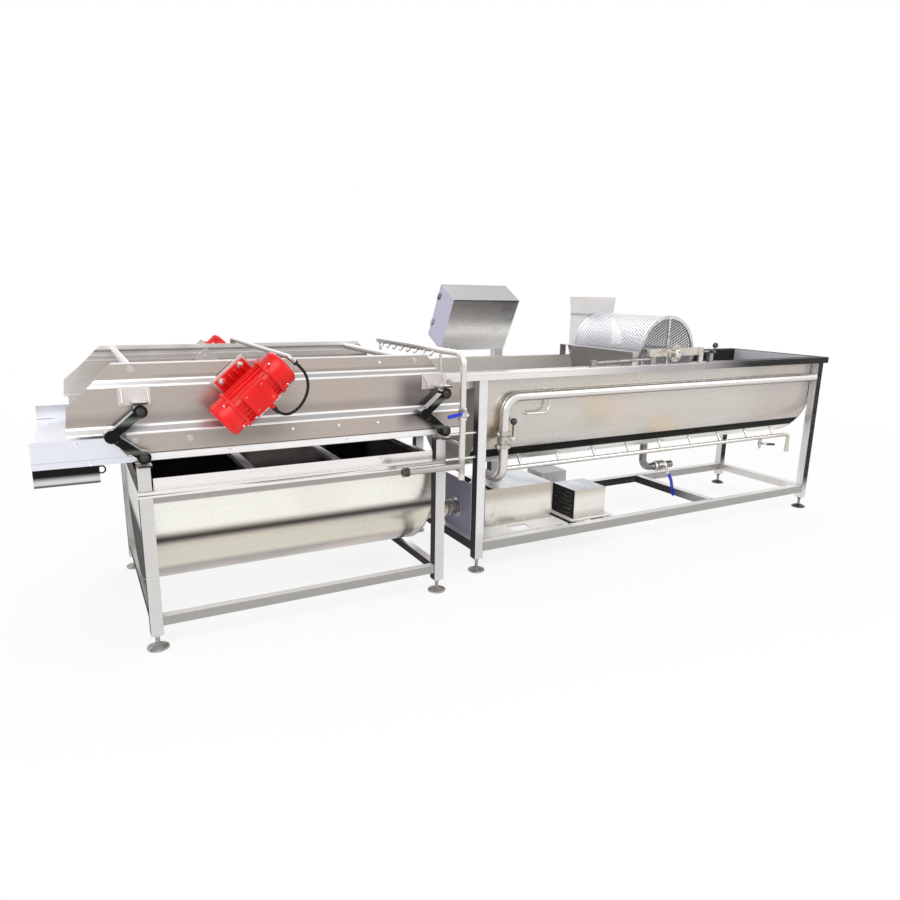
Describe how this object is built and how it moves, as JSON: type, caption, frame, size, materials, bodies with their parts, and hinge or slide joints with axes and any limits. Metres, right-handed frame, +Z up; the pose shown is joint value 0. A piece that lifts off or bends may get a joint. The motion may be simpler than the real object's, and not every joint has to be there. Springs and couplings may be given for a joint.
{
  "type": "shrimp washing line",
  "caption": "Industrial shrimp washing line: round-bottomed wash tank on a tube stand with a perforated take-off drum, feeding a vibrating drain screen over a collection tank.",
  "frame": {"origin": "centre of the bounding box's footprint, on the floor", "axes": "+X along the line towards the feed end, +Y towards the operator's side at the back, +Z up"},
  "size_m": [4.783, 1.409, 1.5218],
  "materials": {
    "frame_steel": "brushed stainless tube, warm bright sides",
    "sheet_steel": "brushed stainless sheet with soft warm and grey bands",
    "pipe_steel": "polished stainless pipe",
    "cast_steel": "satin cast stainless fittings",
    "plate_steel": "brushed stainless plate",
    "drum_steel": "perforated bright stainless sheet",
    "machined_steel": "turned steel",
    "motor_red": "glossy red paint on ribbed castings",
    "drive_paint": "pale light-grey paint",
    "cover_paint": "pale lavender-grey sheet",
    "pump_paint": "dark blue-grey motor paint",
    "cast_iron": "dark cast metal",
    "arm_rubber": "matt black rubber",
    "lip_rubber": "dark rubber flap",
    "cable_rubber": "black cable sheath",
    "hose_plastic": "ribbed grey suction hose",
    "handle_blue": "blue dipped lever sleeve",
    "ball_black": "glossy black ball knob",
    "stop_red": "glossy red push head",
    "start_green": "glossy green push head",
    "gear_plastic": "grey switchgear housings"
  },
  "bodies": {
    "frame": {"tank_frame": "frame_steel", "levelling_feet": "machined_steel", "wash_trough": "sheet_steel", "trough_rim": "sheet_steel", "outfall_channel": "sheet_steel", "delivery_pipe": "pipe_steel", "pipe_clamps": "cast_steel", "butterfly_body": "cast_steel", "air_manifold": "pipe_steel", "level_tube": "pipe_steel", "ball_valve_bodies": "cast_steel", "drain_pipe": "pipe_steel", "suction_hose": "hose_plastic", "pump_volute": "cast_steel", "pump_motor": "pump_paint", "pump_cover": "sheet_steel", "pump_plates": "cover_paint", "blower_cover": "sheet_steel", "auxiliary_pumps": "pump_paint", "drum_bridge": "plate_steel", "drum_tray": "plate_steel", "rim_clamps": "machined_steel", "drive_housing": "drive_paint", "drum_gearmotor": "pump_paint", "cabinet_body": "sheet_steel", "cabinet_post": "frame_steel", "control_gear": "gear_plastic", "screen_frame": "frame_steel", "collection_tank": "sheet_steel", "base_brackets": "machined_steel", "spray_pipework": "pipe_steel"},
    "butterfly": {"butterfly_lever": "machined_steel", "butterfly_ball": "ball_black"},
    "sample_tap": {"sample_handle": "handle_blue"},
    "drain_tap": {"drain_handle": "handle_blue"},
    "spray_tap": {"spray_handle": "handle_blue"},
    "pump_rotor": {"pump_impeller": "cast_steel"},
    "drum": {"drum_shell": "drum_steel", "drum_spider": "machined_steel"},
    "clamp_arm": {"clamp_lever": "ball_black"},
    "door": {"cabinet_door": "sheet_steel"},
    "stop_push": {"stop_button": "stop_red"},
    "start_push": {"start_button": "start_green"},
    "left_lower": {"left_lower_arms": "arm_rubber"},
    "left_upper": {"left_upper_arms": "arm_rubber"},
    "right_lower": {"right_lower_arms": "arm_rubber"},
    "right_upper": {"right_upper_arms": "arm_rubber"},
    "screen": {"upper_brackets": "plate_steel", "side_plates": "plate_steel", "cross_members": "frame_steel", "screen_deck": "sheet_steel", "discharge_chute": "plate_steel", "chute_lip": "lip_rubber", "motor_housings": "motor_red", "terminal_boxes": "motor_red", "motor_mounts": "plate_steel", "motor_cable": "cable_rubber", "conduit_bar": "pipe_steel"},
    "front_unbalance": {"front_rotor": "cast_iron"},
    "back_unbalance": {"back_rotor": "cast_iron"}
  },
  "joints": [
    {"name": "butterfly_turn", "type": "hinge", "parent": "frame", "child": "butterfly", "pos_m": [-0.2345, -0.368, 0.7185], "axis": [1, 0, 0], "range_deg": [0, 90]},
    {"name": "sample_turn", "type": "hinge", "parent": "frame", "child": "sample_tap", "pos_m": [2.0055, -0.24, 0.477], "axis": [0, 1, 0], "range_deg": [0, 90]},
    {"name": "drain_turn", "type": "hinge", "parent": "frame", "child": "drain_tap", "pos_m": [1.2935, 0, 0.335], "axis": [0, 1, 0], "range_deg": [0, 90]},
    {"name": "spray_turn", "type": "hinge", "parent": "frame", "child": "spray_tap", "pos_m": [-0.6245, -0.605, 0.92], "axis": [0, 1, 0], "range_deg": [0, 90]},
    {"name": "pump_spin", "type": "hinge", "parent": "frame", "child": "pump_rotor", "pos_m": [-0.2345, -0.09, 0.285], "axis": [1, 0, 0], "continuous": true},
    {"name": "drum_spin", "type": "hinge", "parent": "frame", "child": "drum", "pos_m": [0.9435, 0, 1.145], "axis": [0, 1, 0], "continuous": true},
    {"name": "clamp_turn", "type": "hinge", "parent": "frame", "child": "clamp_arm", "pos_m": [1.2485, -0.39, 1.149], "axis": [0, 1, 0], "range_deg": [0, 90]},
    {"name": "door_hinge", "type": "hinge", "parent": "frame", "child": "door", "pos_m": [-0.15255, 0.52114, 1.51442], "axis": [0, -0.4756, 0.8796], "range_deg": [0, 110]},
    {"name": "stop_press", "type": "slide", "parent": "door", "child": "stop_push", "axis": [0, -0.8796, -0.4756], "range_m": [0, 0.006], "stiffness_N_per_m": 900, "springref_m": -0.001},
    {"name": "start_press", "type": "slide", "parent": "door", "child": "start_push", "axis": [0, -0.8796, -0.4756], "range_m": [0, 0.006], "stiffness_N_per_m": 900, "springref_m": -0.001},
    {"name": "screen_shake", "type": "slide", "parent": "frame", "child": "screen", "axis": [-0.6561, 0, 0.7547], "range_m": [-0.005, 0.005], "stiffness_N_per_m": 800000, "springref_m": 0.00211},
    {"name": "left_lower_rock", "type": "hinge", "parent": "frame", "child": "left_lower", "pos_m": [-2.0085, 0, 0.828], "axis": [0, 1, 0], "range_deg": [-0.2, 0.2]},
    {"name": "left_upper_rock", "type": "hinge", "parent": "left_lower", "child": "left_upper", "pos_m": [-2.1165, 0, 0.918], "axis": [0, 1, 0], "range_deg": [-2.5, 2.5]},
    {"name": "right_lower_rock", "type": "hinge", "parent": "frame", "child": "right_lower", "pos_m": [-0.6745, 0, 0.828], "axis": [0, 1, 0], "range_deg": [-0.2, 0.2]},
    {"name": "right_upper_rock", "type": "hinge", "parent": "right_lower", "child": "right_upper", "pos_m": [-0.7825, 0, 0.918], "axis": [0, 1, 0], "range_deg": [-2.5, 2.5]},
    {"name": "front_rotor_spin", "type": "hinge", "parent": "screen", "child": "front_unbalance", "pos_m": [-1.5885, -0.58, 1.065], "axis": [0.7547, 0, 0.6561], "continuous": true},
    {"name": "back_rotor_spin", "type": "hinge", "parent": "screen", "child": "back_unbalance", "pos_m": [-1.5885, 0.58, 1.065], "axis": [0.7547, 0, 0.6561], "continuous": true}
  ],
  "couplings": [
    {"joint": "left_lower_rock", "follows": "screen_shake", "rad_per_m": -0.151},
    {"joint": "left_upper_rock", "follows": "screen_shake", "rad_per_m": -6.988},
    {"joint": "right_lower_rock", "follows": "screen_shake", "rad_per_m": -0.151},
    {"joint": "right_upper_rock", "follows": "screen_shake", "rad_per_m": -6.988}
  ]
}
